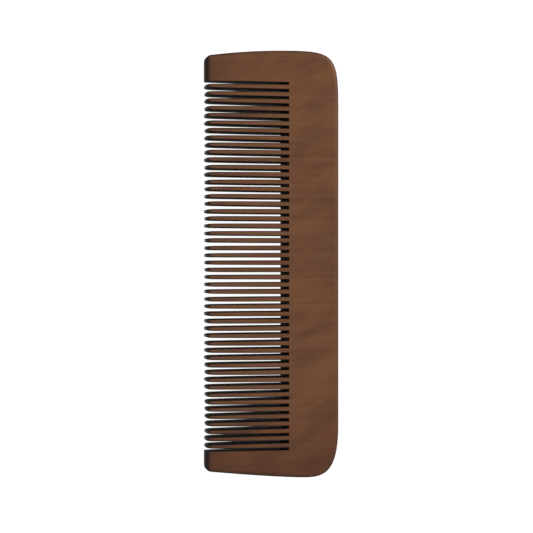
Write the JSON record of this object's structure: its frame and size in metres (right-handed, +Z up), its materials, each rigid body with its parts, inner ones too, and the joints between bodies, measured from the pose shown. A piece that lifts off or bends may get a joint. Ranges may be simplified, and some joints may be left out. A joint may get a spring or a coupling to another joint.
{
  "type": "beard comb",
  "caption": "One-piece wooden pocket beard comb with a solid straight back, an end guard at each end and a row of fine sawn teeth.",
  "frame": {"origin": "middle of the comb's footprint, on the surface that it lies on", "axes": "+X from the tooth tips to the spine, +Y along the comb towards the wider end guard, +Z up through the board's thickness"},
  "size_m": [0.0472, 0.15, 0.01],
  "materials": {
    "back_wood": "satin lacquered brown stained hardwood",
    "tooth_wood": "sawn and sanded, brown stained and thinly lacquered"
  },
  "bodies": {
    "root": {"back": "back_wood", "wide_end_guard": "back_wood", "narrow_end_guard": "back_wood", "tooth_01": "tooth_wood", "tooth_02": "tooth_wood", "tooth_03": "tooth_wood", "tooth_04": "tooth_wood", "tooth_05": "tooth_wood", "tooth_06": "tooth_wood", "tooth_07": "tooth_wood", "tooth_08": "tooth_wood", "tooth_09": "tooth_wood", "tooth_10": "tooth_wood", "tooth_11": "tooth_wood", "tooth_12": "tooth_wood", "tooth_13": "tooth_wood", "tooth_14": "tooth_wood", "tooth_15": "tooth_wood", "tooth_16": "tooth_wood", "tooth_17": "tooth_wood", "tooth_18": "tooth_wood", "tooth_19": "tooth_wood", "tooth_20": "tooth_wood", "tooth_21": "tooth_wood", "tooth_22": "tooth_wood", "tooth_23": "tooth_wood", "tooth_24": "tooth_wood", "tooth_25": "tooth_wood", "tooth_26": "tooth_wood", "tooth_27": "tooth_wood", "tooth_28": "tooth_wood", "tooth_29": "tooth_wood", "tooth_30": "tooth_wood", "tooth_31": "tooth_wood", "tooth_32": "tooth_wood", "tooth_33": "tooth_wood", "tooth_34": "tooth_wood", "tooth_35": "tooth_wood", "tooth_36": "tooth_wood", "tooth_37": "tooth_wood", "tooth_38": "tooth_wood", "tooth_39": "tooth_wood", "tooth_40": "tooth_wood", "tooth_41": "tooth_wood", "tooth_42": "tooth_wood", "tooth_43": "tooth_wood", "tooth_44": "tooth_wood", "tooth_45": "tooth_wood", "tooth_46": "tooth_wood", "tooth_47": "tooth_wood", "tooth_48": "tooth_wood", "tooth_49": "tooth_wood", "tooth_50": "tooth_wood"}
  },
  "joints": []
}
